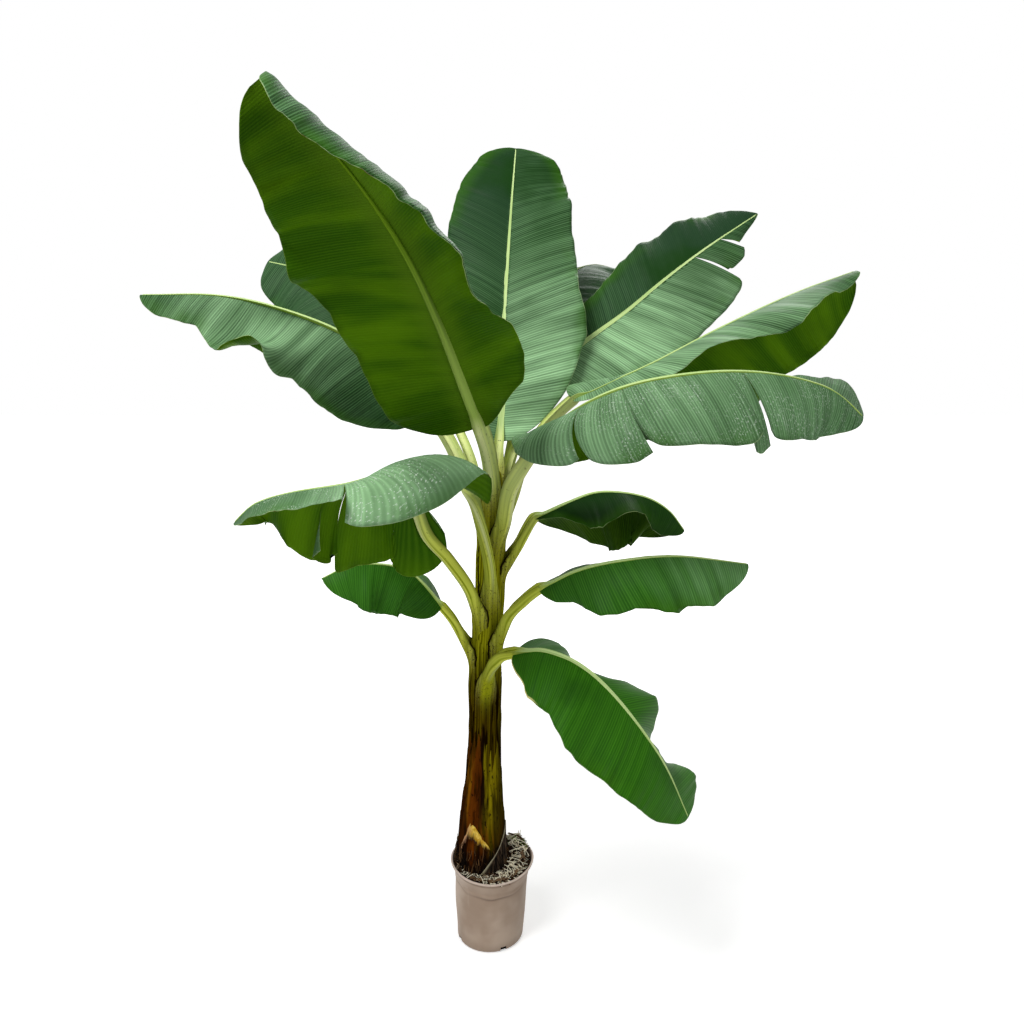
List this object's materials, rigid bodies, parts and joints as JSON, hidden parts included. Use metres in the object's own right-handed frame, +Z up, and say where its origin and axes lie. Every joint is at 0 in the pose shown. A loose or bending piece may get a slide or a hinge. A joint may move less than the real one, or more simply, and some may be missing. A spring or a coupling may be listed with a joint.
{
  "type": "potted banana plant",
  "caption": "Young banana plant with a leaning pseudostem and broad, arching leaves, in a round tapered nursery pot of soil.",
  "frame": {"origin": "middle of the pot's underside", "axes": "+Z up, +X to the right and -Y to the front, where the stem's old leaf base shows"},
  "size_m": [1.5543, 1.2775, 1.9784],
  "materials": {
    "pot": "satin",
    "soil": "matte",
    "stem": "satin",
    "leaf": "satin",
    "cut_base": "matte",
    "dry_sheath": "matte",
    "bark": "matte"
  },
  "bodies": {
    "root": {"pot": "pot", "soil": "soil", "pseudostem": "stem", "leaf_tall_left": "leaf", "leaf_centre_upright": "leaf", "leaf_upper_right": "leaf", "leaf_rear_right": "leaf", "leaf_long_right": "leaf", "leaf_arched_right": "leaf", "leaf_rear_left": "leaf", "leaf_long_left": "leaf", "leaf_front_left": "leaf", "leaf_small_left": "leaf", "leaf_small_right": "leaf", "leaf_mid_right": "leaf", "leaf_low_right": "leaf", "cut_leaf_base": "cut_base", "dry_sheath": "dry_sheath", "bark_strip_1": "bark", "bark_strip_2": "bark", "bark_strip_3": "bark", "bark_strip_4": "bark", "bark_strip_5": "bark", "bark_strip_6": "bark"}
  },
  "joints": []
}
